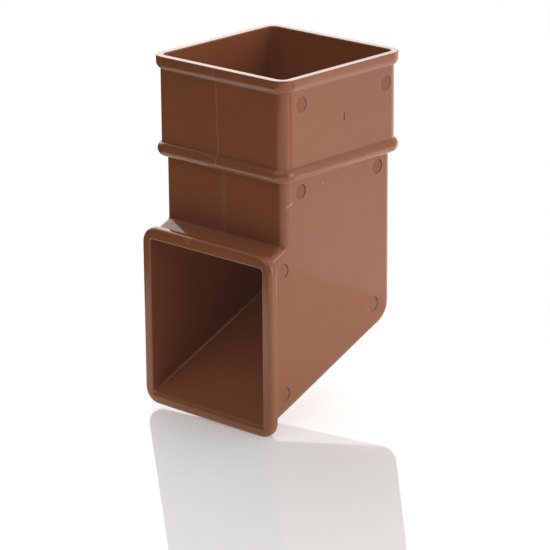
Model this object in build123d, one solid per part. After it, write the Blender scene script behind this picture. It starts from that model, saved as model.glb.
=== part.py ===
from build123d import *
from math import atan2, cos, sin
import os

os.makedirs("parts", exist_ok=True)

# Frame: the origin is on the axis of the socket, on the ledge that the pipe stands on.
# X points right seen from the outlet, the outlet faces -Y, the house wall is at +Y, Z is up.
# Every size is in millimetres.

# Pipe and wall
pipe_side = 65.0
seat_play = 0.8
mouth_play = 1.6
socket_wall = 2.1
duct_wall = 1.65
roof_wall = 1.9
floor_wall = 2.5

# Socket
socket_depth = 40.0
socket_corner = 5.0
rim_proud = 1.75
rim_side_height = 2.65
rim_edge_round = 0.4
rim_under_radius = 3.6
mouth_lip_chamfer = 0.35

# Bead around the seat
seat_bead_radius = 3.15
seat_bead_proud = 1.8
seat_bead_level = 0.9

# Duct below the socket
ledge_width = 1.85
duct_corner = 3.0
duct_inner_corner = 1.2
outlet_fall = 22.5
outlet_height = 65.6
roof_line = 28.8
rear_corner = 10.5
roof_root_round = 1.0
throat_round = 2.0
lip_margin = 0.02

# Outlet collar
outlet_reach = 44.2
collar_depth = 4.2
collar_proud = 3.25
collar_rise = 2.4
collar_drop = 3.1
collar_corner = 7.0
collar_front_round = 2.0
collar_back_round = 0.9
collar_lip_round = 0.7
floor_lip_round = 2.4

# Witness marks of the mould, on both side faces
pin_mark_diameter = 6.2
pin_mark_depth = 0.27
pin_mark_tilt = 4.2
tick_height = 3.2
tick_place = (0.9, 19.0)
tick_width = 0.6
tick_depth = 0.5


def arc_drop(radius, proud):
    """Height over which an arc that stands proud of a wall curves back to it."""
    return (radius ** 2 - (radius - proud) ** 2) ** 0.5


# Derived sizes
seat_bore = pipe_side + seat_play
mouth_bore = pipe_side + mouth_play
socket_half = seat_bore / 2 + socket_wall
bore_corner = socket_corner - socket_wall
duct_inner_half = seat_bore / 2 - ledge_width
duct_half = duct_inner_half + duct_wall
run = (Vector(0, 1, 0)).rotate(Axis.X, outlet_fall)
fall = run.Z / run.Y
inner_roof_drop = roof_wall / run.Y
inner_floor_rise = floor_wall / run.Y
duct_height = outlet_height / run.Y
rim_under_drop = arc_drop(rim_under_radius, rim_proud)
collar_half = duct_half + collar_proud
collar_back = -outlet_reach + collar_depth
collar_middle = -outlet_reach + collar_depth / 2


def roof_z(y):
    """Height of the outer roof of the outlet at the depth y."""
    return -roof_line + fall * (y + duct_half)


def floor_z(y):
    """Height of the outer floor of the outlet at the depth y."""
    return roof_z(y) - duct_height


def rounded_square(half, corner, z):
    """Plan outline of a square tube at the height z."""
    return Plane.XY.offset(z) * RectangleRounded(2 * half, 2 * half, corner)


def side_prism(points, half_width):
    """Prism of a side outline given as (y, z) points, centred on the plane x = 0."""
    outline = Plane.YZ * Polyline(*points, close=True)
    return extrude(make_face(outline), amount=half_width, both=True)


def across(solid, y, z):
    """The edge of the solid that runs across it through the point (y, z)."""
    edges = solid.edges().filter_by(Axis.X)
    return edges.sort_by_distance((0, y, z))[0]


def along_sides(solid, half_width, front, top):
    """Outline edges of both side faces, without those in the front and the top plane."""
    edges = []
    for edge in solid.edges():
        middle = edge @ 0.5
        on_side = abs(abs(middle.X) - half_width) < 0.01
        inner = middle.Y > front + 0.01 and middle.Z < top - 0.01
        if on_side and inner:
            edges.append(edge)
    return edges


def outer_duct():
    """Outer shape of the duct: the drop under the socket and the sloping outlet."""
    points = [
        (duct_half, 0),
        (duct_half, floor_z(duct_half)),
        (-outlet_reach, floor_z(-outlet_reach)),
        (-outlet_reach, roof_z(-outlet_reach)),
        (-duct_half, -roof_line),
        (-duct_half, 0),
    ]
    body = side_prism(points, duct_half)
    body = fillet(across(body, duct_half, floor_z(duct_half)), rear_corner)
    body = fillet(across(body, -duct_half, -roof_line), roof_root_round)
    return fillet(along_sides(body, duct_half, -outlet_reach, 0), duct_corner)


def inner_roof_z(y):
    """Height of the inner roof of the outlet at the depth y."""
    return roof_z(y) - inner_roof_drop


def inner_floor_z(y):
    """Height of the inner floor of the outlet at the depth y."""
    return floor_z(y) + inner_floor_rise


def inner_duct():
    """Space inside the duct, from the ledge to past the outlet, where the floor rounds down."""
    half = duct_inner_half
    past = outlet_reach + collar_depth
    front = outlet_reach + lip_margin
    points = [
        (half, 0),
        (half, inner_floor_z(half)),
        (-front, inner_floor_z(-front)),
        (-front, floor_z(-front)),
        (-past, floor_z(-front)),
        (-past, inner_roof_z(-past)),
        (-half, inner_roof_z(-half)),
        (-half, 0),
    ]
    space = side_prism(points, half)
    space = fillet(across(space, half, inner_floor_z(half)), rear_corner - duct_wall)
    space = fillet(across(space, -half, inner_roof_z(-half)), throat_round)
    space = fillet(along_sides(space, half, -outlet_reach, 0), duct_inner_corner)
    return fillet(across(space, -front, inner_floor_z(-front)), floor_lip_round)


def around_socket(half, corner, level, outline):
    """Sweep of a section around the socket; the outline is drawn from the path, outward and up."""
    path = rounded_square(half, corner, level).wire()
    along = path % 0
    outward = along.cross(Vector(0, 0, 1))
    plane = Plane(origin=path @ 0, x_dir=outward, z_dir=-along)
    return sweep(plane * outline, path=path)


def rim():
    """Rim at the mouth: flat on top, upright at the side and curved back to the wall below."""
    top = rim_side_height
    side = rim_proud + socket_wall / 2
    round_start = side - rim_edge_round
    foot = (socket_wall / 2, -rim_under_drop)
    under_centre = (side - rim_under_radius, 0)
    half_turn = atan2(rim_under_drop, rim_under_radius - rim_proud) / 2
    on_under = (
        under_centre[0] + rim_under_radius * cos(half_turn),
        -rim_under_radius * sin(half_turn),
    )
    corner = rim_edge_round * (1 - 0.5 ** 0.5)
    lines = [
        Line((0, top), (round_start, top)),
        ThreePointArc((round_start, top), (side - corner, top - corner), (side, top - rim_edge_round)),
        Line((side, top - rim_edge_round), (side, 0)),
        ThreePointArc((side, 0), on_under, foot),
        Line(foot, (0, -rim_under_drop)),
        Line((0, -rim_under_drop), (0, top)),
    ]
    middle = socket_wall / 2
    level = socket_depth - rim_side_height
    return around_socket(socket_half - middle, socket_corner - middle, level, make_face(lines))


def socket_shell():
    """Outer shape of the socket with the rim and the bead around the seat."""
    tube = extrude(rounded_square(socket_half, socket_corner, 0), amount=socket_depth)
    bead_line = seat_bead_proud - seat_bead_radius
    path_half = socket_half + bead_line
    path_corner = socket_corner + bead_line
    bead = around_socket(path_half, path_corner, seat_bead_level, Circle(seat_bead_radius))
    step_low = seat_bead_level - seat_bead_radius
    step = extrude(rounded_square(path_half, path_corner, step_low), amount=-step_low)
    return tube + rim() + step + bead


def mouth_edges(solid):
    """Edges of the outlet's mouth, where the inner duct meets the front of the collar."""
    top = inner_roof_z(-outlet_reach) + 0.01
    bottom = inner_floor_z(-outlet_reach)
    found = []
    for edge in solid.edges():
        box = edge.bounding_box()
        in_front = box.max.Y < -outlet_reach + 0.01
        if in_front and box.max.Z < top and box.min.Z > bottom:
            found.append(edge)
    return found


def socket_space():
    """Space for the pipe: a square bore that opens a little toward the mouth."""
    lip = mouth_lip_chamfer
    seat = rounded_square(seat_bore / 2, bore_corner, 0)
    mouth = rounded_square(mouth_bore / 2, bore_corner, socket_depth)
    lip_low = rounded_square(mouth_bore / 2 - lip, bore_corner - lip, socket_depth - 2 * lip)
    lip_high = rounded_square(mouth_bore / 2 + lip, bore_corner + lip, socket_depth)
    return loft([seat, mouth]) + loft([lip_low, lip_high])


def collar():
    """Rounded collar around the outlet, standing plumb across the sloping duct."""
    top = roof_z(collar_middle) + collar_rise
    bottom = floor_z(collar_middle) - collar_drop
    plane = Plane(origin=(0, collar_back, (top + bottom) / 2), x_dir=(1, 0, 0), z_dir=(0, -1, 0))
    face = plane * RectangleRounded(2 * collar_half, top - bottom, collar_corner)
    band = extrude(face, amount=collar_depth)
    band = fillet(band.faces().sort_by(Axis.Y)[0].edges(), collar_front_round)
    return fillet(band.faces().sort_by(Axis.Y)[-1].edges(), collar_back_round)


def pin_marks(side):
    """Shallow tilted discs to be cut from one side face, and the tick in the socket."""
    on_socket = [(-24.6, 28.8), (26.3, 27.8)]
    on_duct = [(-22.8, -7.5), (23.7, -7.0), (-33.4, -38.3), (21.5, -65.7), (-32.8, -90.7)]
    cutters = []
    places = [(socket_half, y, z) for y, z in on_socket] + [(duct_half, y, z) for y, z in on_duct]
    for x, y, z in places:
        disc = Rot(0, 90, 0) * Cylinder(pin_mark_diameter / 2, 4 * pin_mark_depth)
        tilted = Rot(0, 0, -side * pin_mark_tilt) * disc
        cutters.append(Pos(side * (x + pin_mark_depth), y, z) * tilted)
    tick = Box(2 * tick_depth, tick_width, tick_height)
    cutters.append(Pos(side * socket_half, *tick_place) * tick)
    return cutters


shoe = outer_duct() + socket_shell() + collar()
shoe = shoe - inner_duct() - socket_space()
shoe = fillet(mouth_edges(shoe), collar_lip_round)
for cutter in pin_marks(1) + pin_marks(-1):
    shoe = shoe - cutter

export_step(shoe, "parts/downpipe_shoe.step")
print("volume mm3", round(shoe.volume, 1), "solids", len(shoe.solids()))
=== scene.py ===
import math

import bpy
from mathutils import Matrix, Vector

MM = 0.001
WHITE = (1, 1, 1, 1)

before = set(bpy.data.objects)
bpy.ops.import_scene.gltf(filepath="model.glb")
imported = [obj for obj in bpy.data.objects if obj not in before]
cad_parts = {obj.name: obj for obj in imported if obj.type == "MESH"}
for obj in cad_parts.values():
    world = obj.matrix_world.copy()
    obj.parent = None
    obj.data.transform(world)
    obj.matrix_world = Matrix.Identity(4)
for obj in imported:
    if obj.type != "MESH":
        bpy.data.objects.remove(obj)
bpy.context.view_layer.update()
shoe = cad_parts["downpipe_shoe"]


def at(x, y, z):
    """A place given in millimetres."""
    return Vector((x, y, z)) * MM


# Camera, fitted to the straight edges of the object
CAMERA_AZIMUTH = math.radians(42.667)
CAMERA_ELEVATION = math.radians(17.924)
CAMERA_ROLL = math.radians(-0.449)
CAMERA_DISTANCE = 1202.6 * MM
CAMERA_TARGET = at(8.608, -11.853, -50.083)
CAMERA_LENS = 192.474
CAMERA_SENSOR = 36.0
CAMERA_REACH = 20.0

# Glossy board that the shoe stands on: it tilts a little under the shoe, and glows a little
BOARD_NORMAL = Vector((-0.0398, -0.0420, 0.99832))
BOARD_OFFSET = -105.25 * MM
BOARD_SIZE = 700.0 * MM
BOARD_LEFT = -33.0 * MM
BOARD_RIGHT = BOARD_LEFT + BOARD_SIZE
BOARD_BACK = 103.0 * MM
BOARD_FRONT = BOARD_BACK - BOARD_SIZE
BOARD_COLOUR = (0.80, 0.80, 0.79, 1)
BOARD_ROUGHNESS = 0.03
BOARD_IOR = 1.5
BOARD_GLOW = 0.26

# White table under the board, lit near the shoe and dark further to the front and the left
TABLE_DROP = 3.0 * MM
TABLE_LEFT = -165.0 * MM
TABLE_FRONT = -195.0 * MM
TABLE_FADE = 60.0 * MM
TABLE_END_LEFT = TABLE_LEFT - TABLE_FADE
TABLE_END_FRONT = TABLE_FRONT - TABLE_FADE
TABLE_LIGHT = 0.87

# Soft round lights: azimuth and elevation in degrees, cosines at the soft edge, strength
KEY_LIGHT = (14, 14, (0.86, 1.00), 2.2)
SWEEP_LIGHT = (80, 28, (0.20, 0.70), 0.70)
FRONT_LIGHT = (262, 56, (0.72, 1.00), 0.88)
LOW_LIGHT = (98, -45, (0.50, 0.80), 1.1)
RIM_LIGHT = (150, 32, (0.84, 0.92), 1.8)
LIGHTS = (KEY_LIGHT, SWEEP_LIGHT, FRONT_LIGHT, LOW_LIGHT, RIM_LIGHT)

# Brown plastic: the haze is a faint even glow, as a lens gives
BROWN = (0.378, 0.124, 0.0455, 1)
BROWN_DEEP = (0.355, 0.113, 0.041, 1)
# Pale colour of wear, also used for painted highlights on crisp edges and under the seat bead
WORN_AND_HIGHLIGHT = (0.60, 0.31, 0.19, 1)
# Dark colour for the painted shade in the hollows and at the pin marks, and for the two dark spots
SHADE_AND_SPOT_DARK = (0.035, 0.016, 0.009, 1)
PLASTIC_IOR = 1.54
HAZE = 0.0055
EDGE_ROUND = 0.35 * MM
EDGE_SAMPLES = 6

# Roughness: the lowest and the highest of the plain plastic, and what streaks and the pale marks add
ROUGHNESS_LOW = 0.08
ROUGHNESS_HIGH = 0.12
STREAK_ROUGHNESS = 0.05
PALE_MARK_ROUGHNESS = 0.25

# Noise: cells per metre, the same on all axes or one number for each, and levels of detail
CLOUD_NOISE = (22.0, 3.0)
GLOSS_NOISE = (90.0, 4.0)
RIPPLE_NOISE = (60.0, 1.0)
GRAIN_NOISE = (1500.0, 2.0)
STREAK_NOISE = (Vector((900, 900, 45)), 2.0)
WAVER_NOISE = (Vector((0, 0, 130)), 1.0)
NOISE_ROUGHNESS = 0.55
NOISE_MEAN = 0.5
NOISE_MIDDLE = (0.3, 0.7)
STREAK_PEAKS = (0.62, 0.80)

# Relief in millimetres, which is the unit of the bump
RIPPLE_HEIGHT = 0.012
GRAIN_HEIGHT = 0.0008
RIDGE_HEIGHT = 0.03
CUT_DEPTH = 0.04

# Half the width of the socket and of the duct in millimetres, and the soft limits of two faces
SOCKET_SIDE = 35.0
DUCT_SIDE = 32.7
FRONT_FACE = (-31.0 * MM, -30.0 * MM)
RIGHT_FACE = (32.0 * MM, 32.6 * MM)

# Parting line of the mould down the front: it leans and wavers a little, and is faint on the duct
SEAM_X = -0.5 * MM
SEAM_LEAN = -0.02
SEAM_HALF = 0.12 * MM
SEAM_SOFT = 0.1 * MM
SEAM_WAVER = 1.2 * MM
SEAM_FOOT = -1.0 * MM
SEAM_FADE = 3.0 * MM
SEAM_FAINT = 0.25

# Paler band along the parting line on the duct
BAND_X = 0.2 * MM
BAND_HALF = 1.3 * MM
BAND_SIDE_SOFT = 0.6 * MM
BAND_TOP = -5.0 * MM
BAND_FOOT = -28.0 * MM
BAND_END_SOFT = 2.0 * MM

# Painted highlight along the lower edge of the seat bead, on the right side, where it reflects the
# bright board
BEAD_FOOT = -1.5 * MM
BEAD_FOOT_HALF = 0.35 * MM
BEAD_FOOT_SOFT = 0.12 * MM

# Scratch on the near corner of the duct, nick on its side, paler patch on the collar, and specks
SCRATCH_START = at(32.58, -30.6, -12.6)
SCRATCH_END = at(DUCT_SIDE, -27.2, -11.3)
SCRATCH_WIDTH = 0.30 * MM
NICK = at(DUCT_SIDE, -9.25, -6.9)
NICK_SIZE = 0.5 * MM
COLLAR_PALE_PATCH = at(-9.5, -43.6, -31.2)
COLLAR_PALE_PATCH_SIZE = 2.6 * MM
SPECKS = (
    at(DUCT_SIDE, -7.5, -9.4),
    at(DUCT_SIDE, -12.4, -31.3),
    at(DUCT_SIDE, -12.4, -42.7),
    at(DUCT_SIDE, -19.6, -29.2),
    at(SOCKET_SIDE, 2.1, 11.0),
    at(0.8, -DUCT_SIDE, -15.8),
)
SPECK_SIZE = 0.2 * MM

# Dark spots: one on the right side by a pin mark, one on the front of the rim
DARK_SPOTS = (
    at(32.3, 20.6, -7.2),
    at(-1.4, -35.6, 40.0),
)
DARK_SPOT_SIZE = 0.5 * MM

# Share of a mark's size over which it is full
MARK_CORE = 0.4

# Marks of the ejector pins on the right side, with a crescent of shade along the back edge of each
PIN_MARKS = (
    at(SOCKET_SIDE, -24.6, 28.8),
    at(SOCKET_SIDE, 26.3, 27.8),
    at(DUCT_SIDE, -22.8, -7.5),
    at(DUCT_SIDE, 23.7, -7.0),
    at(DUCT_SIDE, -33.4, -38.3),
    at(DUCT_SIDE, 21.5, -65.7),
    at(DUCT_SIDE, -32.8, -90.7),
)
CRESCENT_RADIUS = 3.0 * MM
CRESCENT_HALF = 0.22 * MM
CRESCENT_SOFT = 0.15 * MM
CRESCENT_START = 0.6 * MM
CRESCENT_FULL = 2.2 * MM

# Strength of the crescents on the duct and on the socket, and the heights between which it changes
CRESCENT_ON_DUCT = 0.95
CRESCENT_ON_SOCKET = 0.50
CRESCENT_HEIGHTS = (0.0 * MM, 10.0 * MM)

# Painted shade where little of the sky is seen: full at the first share of sky, none at the second
HOLLOW_SHADE_REACH = 80.0 * MM
HOLLOW_SHADE_SAMPLES = 6
HOLLOW_SHADE_STRENGTH = 0.30
HOLLOW_SHADE_SKY = (0.05, 0.55)

# Grains of dust: cells per metre, size of a grain in cells, and the range that picks the cells
DUST_CELLS = 170.0
DUST_SIZE = (0.012, 0.035)
DUST_PICK = (0.80, 0.86)

# Crisp edges, paler with wear and a painted highlight: cosine between the rounded normal and the true
# one, full at the first
EDGE_MATCH = (0.86, 0.985)

# How far each mark goes from the brown toward the pale colour of wear and painted highlight
SEAM_WEAR = 0.65
BAND_WEAR = 0.09
SPECK_WEAR = 0.60
SCRATCH_WEAR = 0.95
NICK_WEAR = 0.80
COLLAR_PALE_PATCH_SHARE = 0.25
BEAD_FOOT_HIGHLIGHT = 0.45
DUST_WEAR = 0.35
EDGE_WEAR_AND_HIGHLIGHT = 0.18


def set_inputs(made, **values):
    """Set input sockets by name, with an underscore for each space."""
    for name, value in values.items():
        made.inputs[name.replace("_", " ")].default_value = value


def node(tree, kind, **values):
    """A new shader node with the values of its input sockets."""
    made = tree.nodes.new(kind)
    set_inputs(made, **values)
    return made


def feed(tree, value, socket):
    """Link a socket into an input, or set the input to a plain value."""
    if isinstance(value, bpy.types.NodeSocket):
        tree.links.new(value, socket)
    else:
        socket.default_value = value


def math_node(tree, operation, first, second=0.0):
    """A math node; each operand is a socket or a number."""
    made = tree.nodes.new("ShaderNodeMath")
    made.operation = operation
    feed(tree, first, made.inputs[0])
    feed(tree, second, made.inputs[1])
    return made.outputs[0]


def vector_node(tree, operation, first, second):
    """A vector math node; each operand is a socket or a vector."""
    made = tree.nodes.new("ShaderNodeVectorMath")
    made.operation = operation
    feed(tree, first, made.inputs[0])
    feed(tree, second, made.inputs[1])
    return made.outputs


def combined(tree, operation, values):
    """The values put together, from the first on, by one math operation."""
    result, *others = values
    for value in others:
        result = math_node(tree, operation, result, value)
    return result


def product(tree, *values):
    """All the values multiplied together."""
    return combined(tree, "MULTIPLY", values)


def total(tree, *values):
    """All the values added up."""
    return combined(tree, "ADD", values)


def strongest(tree, *values):
    """The highest of the values."""
    return combined(tree, "MAXIMUM", values)


def ramp(tree, value, low, high, low_out, high_out):
    """A smooth change from low_out to high_out while the value goes from low to high."""
    made = node(
        tree,
        "ShaderNodeMapRange",
        From_Min=low,
        From_Max=high,
        To_Min=low_out,
        To_Max=high_out,
    )
    made.interpolation_type = "SMOOTHSTEP"
    tree.links.new(value, made.inputs["Value"])
    return made.outputs["Result"]


def rise(tree, value, low, high):
    """0 up to low, and 1 from high on."""
    return ramp(tree, value, low, high, 0.0, 1.0)


def fall(tree, value, low, high):
    """1 up to low, and 0 from high on."""
    return ramp(tree, value, low, high, 1.0, 0.0)


def strip(tree, value, centre, half, soft):
    """1 while the value is within half of the centre, and 0 a soft edge further out."""
    offset = math_node(tree, "ABSOLUTE", math_node(tree, "SUBTRACT", value, centre))
    return fall(tree, offset, half, half + soft)


def spot(tree, place, centre, radius):
    """1 in the core of a small round mark, and 0 outside its radius."""
    distance = vector_node(tree, "DISTANCE", place, centre)["Value"]
    return fall(tree, distance, radius * MARK_CORE, radius)


def spots(tree, place, centres, radius):
    """Small round marks, all of one radius."""
    return strongest(tree, *[spot(tree, place, centre, radius) for centre in centres])


def stroke(tree, place, start, end, width):
    """1 along the straight stroke between two places, and 0 further from it than its width."""
    along = end - start
    from_start = vector_node(tree, "SUBTRACT", place, start)["Vector"]
    travel = vector_node(tree, "DOT_PRODUCT", from_start, along / along.length_squared)["Value"]
    share = math_node(tree, "MINIMUM", math_node(tree, "MAXIMUM", travel, 0.0), 1.0)
    nearest = vector_node(tree, "MULTIPLY", share, along)["Vector"]
    distance = vector_node(tree, "DISTANCE", from_start, nearest)["Value"]
    return fall(tree, distance, width * MARK_CORE, width)


def tint(tree, mask, first, second):
    """A colour that goes from the first to the second as the mask goes from 0 to 1."""
    made = tree.nodes.new("ShaderNodeMix")
    made.data_type = "RGBA"
    tree.links.new(mask, made.inputs["Factor"])
    feed(tree, first, made.inputs["A"])
    feed(tree, second, made.inputs["B"])
    return made.outputs["Result"]


def object_place(tree):
    """The place on the object, whole and as its coordinates."""
    place = tree.nodes.new("ShaderNodeTexCoord").outputs["Object"]
    parts = tree.nodes.new("ShaderNodeSeparateXYZ")
    tree.links.new(place, parts.inputs[0])
    return place, parts.outputs


def noise(tree, place, cells, detail):
    """Noise from 0 to 1 over a place, with a number of cells per metre."""
    made = node(tree, "ShaderNodeTexNoise", Scale=cells, Detail=detail, Roughness=NOISE_ROUGHNESS)
    tree.links.new(place, made.inputs["Vector"])
    return made.outputs["Fac"]


def stretched_noise(tree, place, cells, detail):
    """Noise from 0 to 1 over a place, with its own number of cells per metre on each axis."""
    scaled = vector_node(tree, "MULTIPLY", place, cells)["Vector"]
    return noise(tree, scaled, cells=1.0, detail=detail)


def show_white(tree, kind, strength, output_kind):
    """White to the camera, and white light of the given strength to everything else."""
    plain = node(tree, kind, Color=WHITE)
    lit = node(tree, kind, Color=WHITE)
    tree.links.new(strength, lit.inputs["Strength"])
    seen = tree.nodes.new("ShaderNodeLightPath").outputs["Is Camera Ray"]
    mix = tree.nodes.new("ShaderNodeMixShader")
    tree.links.new(seen, mix.inputs[0])
    tree.links.new(lit.outputs[0], mix.inputs[1])
    tree.links.new(plain.outputs[0], mix.inputs[2])
    output = tree.nodes.new(output_kind)
    tree.links.new(mix.outputs[0], output.inputs["Surface"])


def heading(azimuth, elevation):
    """Unit vector to a place in the sky given in degrees."""
    turn = math.radians(azimuth)
    rise_angle = math.radians(elevation)
    return Vector((
        math.cos(turn) * math.cos(rise_angle),
        math.sin(turn) * math.cos(rise_angle),
        math.sin(rise_angle),
    ))


def soft_light(tree, direction, light):
    """Strength of a soft round light in a direction of the sky."""
    azimuth, elevation, edges, strength = light
    aim = heading(azimuth, elevation)
    match = vector_node(tree, "DOT_PRODUCT", direction, aim)["Value"]
    return ramp(tree, match, *edges, 0.0, strength)


def build_world():
    """White to the camera, and the soft lights to everything else."""
    world = bpy.data.worlds.new("studio")
    bpy.context.scene.world = world
    world.use_nodes = True
    tree = world.node_tree
    tree.nodes.clear()
    direction = tree.nodes.new("ShaderNodeTexCoord").outputs["Generated"]
    strength = total(tree, *[soft_light(tree, direction, light) for light in LIGHTS])
    show_white(tree, "ShaderNodeBackground", strength, "ShaderNodeOutputWorld")


def build_camera():
    """Camera placed by azimuth, elevation, roll and distance from its target."""
    right = Vector((math.cos(CAMERA_AZIMUTH), math.sin(CAMERA_AZIMUTH), 0))
    back = Vector((
        math.sin(CAMERA_AZIMUTH) * math.cos(CAMERA_ELEVATION),
        -math.cos(CAMERA_AZIMUTH) * math.cos(CAMERA_ELEVATION),
        math.sin(CAMERA_ELEVATION),
    ))
    up = back.cross(right)
    turned_right = right * math.cos(CAMERA_ROLL) + up * math.sin(CAMERA_ROLL)
    turned_up = up * math.cos(CAMERA_ROLL) - right * math.sin(CAMERA_ROLL)
    data = bpy.data.cameras.new("camera")
    data.lens = CAMERA_LENS
    data.sensor_width = CAMERA_SENSOR
    data.clip_end = CAMERA_REACH
    camera = bpy.data.objects.new("camera", data)
    bpy.context.collection.objects.link(camera)
    turn = Matrix((turned_right, turned_up, back)).transposed().to_4x4()
    camera.matrix_world = Matrix.Translation(CAMERA_TARGET + back * CAMERA_DISTANCE) @ turn
    bpy.context.scene.camera = camera


def seam_masks(tree, place, parts):
    """The thin parting line down the front, and the paler band along it on the duct."""
    lean = product(tree, parts["Z"], -SEAM_LEAN)
    centred = math_node(tree, "SUBTRACT", stretched_noise(tree, place, *WAVER_NOISE), NOISE_MEAN)
    across = total(tree, lean, product(tree, centred, SEAM_WAVER), parts["X"])
    front = fall(tree, parts["Y"], *FRONT_FACE)
    fade = ramp(tree, parts["Z"], SEAM_FOOT - SEAM_FADE, SEAM_FOOT, SEAM_FAINT, 1.0)
    above_foot = rise(tree, parts["Z"], BAND_FOOT - BAND_END_SOFT, BAND_FOOT)
    line = product(tree, strip(tree, across, SEAM_X, SEAM_HALF, SEAM_SOFT), front, fade, above_foot)
    middle = (BAND_TOP + BAND_FOOT) / 2
    half = (BAND_TOP - BAND_FOOT) / 2
    tall = strip(tree, parts["Z"], middle, half, BAND_END_SOFT)
    wide = strip(tree, parts["X"], BAND_X, BAND_HALF, BAND_SIDE_SOFT)
    return line, product(tree, wide, tall, front)


def bead_foot_highlight(tree, parts):
    """1 along the lower edge of the seat bead on the right side, where a highlight is painted."""
    low = strip(tree, parts["Z"], BEAD_FOOT, BEAD_FOOT_HALF, BEAD_FOOT_SOFT)
    return product(tree, low, rise(tree, parts["X"], *RIGHT_FACE))


def dust(tree, place):
    """A few tiny grains: one in some of the cells of a coarse lattice."""
    cells = node(tree, "ShaderNodeTexVoronoi", Scale=DUST_CELLS)
    tree.links.new(place, cells.inputs["Vector"])
    near = fall(tree, cells.outputs["Distance"], *DUST_SIZE)
    pick = tree.nodes.new("ShaderNodeSeparateColor")
    tree.links.new(cells.outputs["Color"], pick.inputs[0])
    return product(tree, near, rise(tree, pick.outputs[0], *DUST_PICK))


def edge_wear_and_highlight(tree, rounded):
    """1 on crisp edges, where the rounded normal leaves the true one: wear and a painted highlight."""
    true_normal = tree.nodes.new("ShaderNodeNewGeometry").outputs["Normal"]
    match = vector_node(tree, "DOT_PRODUCT", rounded, true_normal)["Value"]
    return fall(tree, match, *EDGE_MATCH)


def painted_hollow_shade(tree):
    """Strength of the painted shade: full deep inside the shoe, and none on its open faces."""
    open_sky = node(tree, "ShaderNodeAmbientOcclusion", Distance=HOLLOW_SHADE_REACH)
    open_sky.only_local = True
    open_sky.samples = HOLLOW_SHADE_SAMPLES
    return ramp(tree, open_sky.outputs["AO"], *HOLLOW_SHADE_SKY, HOLLOW_SHADE_STRENGTH, 0.0)


def pin_shade(tree, place, parts):
    """Strength of the crescent of shade along the back edge of each pin mark."""
    crescents = []
    for centre in PIN_MARKS:
        distance = vector_node(tree, "DISTANCE", place, centre)["Value"]
        ring = strip(tree, distance, CRESCENT_RADIUS, CRESCENT_HALF, CRESCENT_SOFT)
        back = rise(tree, parts["Y"], centre.y + CRESCENT_START, centre.y + CRESCENT_FULL)
        crescents.append(product(tree, ring, back))
    strength = ramp(tree, parts["Z"], *CRESCENT_HEIGHTS, CRESCENT_ON_DUCT, CRESCENT_ON_SOCKET)
    return product(tree, strongest(tree, *crescents), strength)


def plastic_colour(tree, place, parts, wear_and_highlight):
    """Cloudy brown, darker with painted shade in the hollows and at the pin marks and with dark spots,
    and paler with wear and with painted highlights on crisp edges and under the seat bead.
    """
    cloud = rise(tree, noise(tree, place, *CLOUD_NOISE), *NOISE_MIDDLE)
    plain = tint(tree, cloud, BROWN_DEEP, BROWN)
    dark = strongest(
        tree,
        pin_shade(tree, place, parts),
        # painted shade in the hollows, where less light reaches
        painted_hollow_shade(tree),
        spots(tree, place, DARK_SPOTS, DARK_SPOT_SIZE),
    )
    return tint(tree, wear_and_highlight, tint(tree, dark, plain, SHADE_AND_SPOT_DARK), WORN_AND_HIGHLIGHT)


def plastic_roughness(tree, place, wear_and_highlight):
    """Semi-gloss, and duller in streaks, with wear and under the painted highlights."""
    gloss_noise = noise(tree, place, *GLOSS_NOISE)
    plain = ramp(tree, gloss_noise, *NOISE_MIDDLE, ROUGHNESS_LOW, ROUGHNESS_HIGH)
    streaks = rise(tree, stretched_noise(tree, place, *STREAK_NOISE), *STREAK_PEAKS)
    return total(
        tree,
        plain,
        product(tree, streaks, STREAK_ROUGHNESS),
        product(tree, wear_and_highlight, PALE_MARK_ROUGHNESS),
    )


def plastic_normal(tree, place, rounded, line, cuts):
    """The rounded normal, with ripple and grain, the parting line raised and the cuts sunk."""
    relief = total(
        tree,
        product(tree, noise(tree, place, *RIPPLE_NOISE), RIPPLE_HEIGHT),
        product(tree, noise(tree, place, *GRAIN_NOISE), GRAIN_HEIGHT),
        product(tree, line, RIDGE_HEIGHT),
        product(tree, cuts, -CUT_DEPTH),
    )
    bump = node(tree, "ShaderNodeBump", Distance=MM)
    tree.links.new(relief, bump.inputs["Height"])
    tree.links.new(rounded, bump.inputs["Normal"])
    return bump.outputs["Normal"]


def material_with(name, **values):
    """A new material, with the values of its shader's input sockets."""
    material = bpy.data.materials.new(name)
    material.use_nodes = True
    set_inputs(material.node_tree.nodes["Principled BSDF"], **values)
    return material


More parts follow.
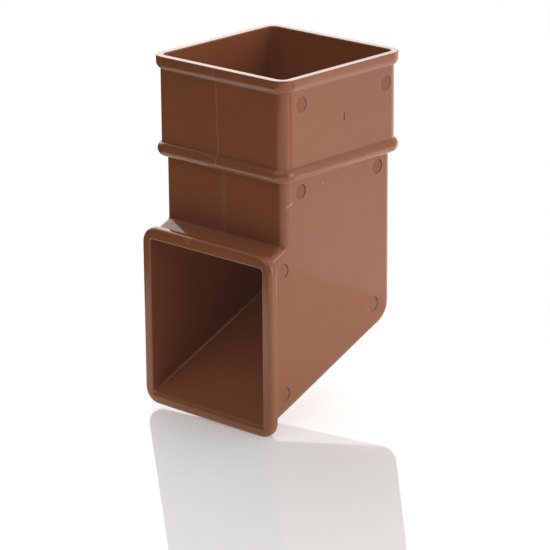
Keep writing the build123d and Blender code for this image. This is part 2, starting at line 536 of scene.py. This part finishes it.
def brown_plastic():
    """Semi-gloss brown plastic, coloured all through, with the small marks of handling, painted shade
    in the hollows and at the pin marks, and painted highlights on crisp edges and under the seat bead.
    """
    material = material_with(
        "brown_upvc",
        IOR=PLASTIC_IOR,
        Emission_Color=WHITE,
        Emission_Strength=HAZE,
    )
    tree = material.node_tree
    place, parts = object_place(tree)
    edge = node(tree, "ShaderNodeBevel", Radius=EDGE_ROUND)
    edge.samples = EDGE_SAMPLES
    rounded = edge.outputs["Normal"]

    line, band = seam_masks(tree, place, parts)
    scratch = stroke(tree, place, SCRATCH_START, SCRATCH_END, SCRATCH_WIDTH)
    nick = spot(tree, place, NICK, NICK_SIZE)
    marks = (
        (line, SEAM_WEAR),
        (band, BAND_WEAR),
        (spots(tree, place, SPECKS, SPECK_SIZE), SPECK_WEAR),
        (scratch, SCRATCH_WEAR),
        (nick, NICK_WEAR),
        (spot(tree, place, COLLAR_PALE_PATCH, COLLAR_PALE_PATCH_SIZE), COLLAR_PALE_PATCH_SHARE),
        # painted highlight along the lower edge of the seat bead
        (bead_foot_highlight(tree, parts), BEAD_FOOT_HIGHLIGHT),
        (dust(tree, place), DUST_WEAR),
        # wear and painted highlight on crisp edges
        (edge_wear_and_highlight(tree, rounded), EDGE_WEAR_AND_HIGHLIGHT),
    )
    # pale marks of wear and painted highlight
    wear_and_highlight = strongest(tree, *[product(tree, mask, share) for mask, share in marks])

    cuts = strongest(tree, scratch, nick)
    shader = tree.nodes["Principled BSDF"]
    tree.links.new(plastic_colour(tree, place, parts, wear_and_highlight), shader.inputs["Base Color"])
    tree.links.new(plastic_roughness(tree, place, wear_and_highlight), shader.inputs["Roughness"])
    tree.links.new(plastic_normal(tree, place, rounded, line, cuts), shader.inputs["Normal"])
    return material


def board_material():
    """White glossy sheet with a little light of its own."""
    return material_with(
        "board_white",
        Base_Color=BOARD_COLOUR,
        Roughness=BOARD_ROUGHNESS,
        IOR=BOARD_IOR,
        Emission_Color=WHITE,
        Emission_Strength=BOARD_GLOW,
    )


def table_material():
    """White to the camera; to the shoe it fades to dark at the front and the left."""
    material = bpy.data.materials.new("table_white")
    material.use_nodes = True
    tree = material.node_tree
    tree.nodes.clear()
    _, parts = object_place(tree)
    lit_x = rise(tree, parts["X"], TABLE_END_LEFT, TABLE_LEFT)
    lit_y = rise(tree, parts["Y"], TABLE_END_FRONT, TABLE_FRONT)
    strength = product(tree, lit_x, lit_y, TABLE_LIGHT)
    show_white(tree, "ShaderNodeEmission", strength, "ShaderNodeOutputMaterial")
    return material


def board_height(x, y):
    """Height of the board's plane at a place."""
    return (BOARD_OFFSET - BOARD_NORMAL.x * x - BOARD_NORMAL.y * y) / BOARD_NORMAL.z


def sheet(name, left, front, drop, material):
    """A flat piece of the stage, a drop below the board's plane, up to the board's far corner."""
    corners = ((left, front), (BOARD_RIGHT, front), (BOARD_RIGHT, BOARD_BACK), (left, BOARD_BACK))
    points = [(x, y, board_height(x, y) - drop) for x, y in corners]
    mesh = bpy.data.meshes.new(name)
    mesh.from_pydata(points, [], [(0, 1, 2, 3)])
    mesh.materials.append(material)
    made = bpy.data.objects.new(name, mesh)
    bpy.context.collection.objects.link(made)


shoe.data.materials.clear()
shoe.data.materials.append(brown_plastic())
build_world()
build_camera()
sheet("board", BOARD_LEFT, BOARD_FRONT, 0.0, board_material())
sheet("table", TABLE_END_LEFT, TABLE_END_FRONT, TABLE_DROP, table_material())
bpy.context.scene.view_settings.view_transform = "Standard"
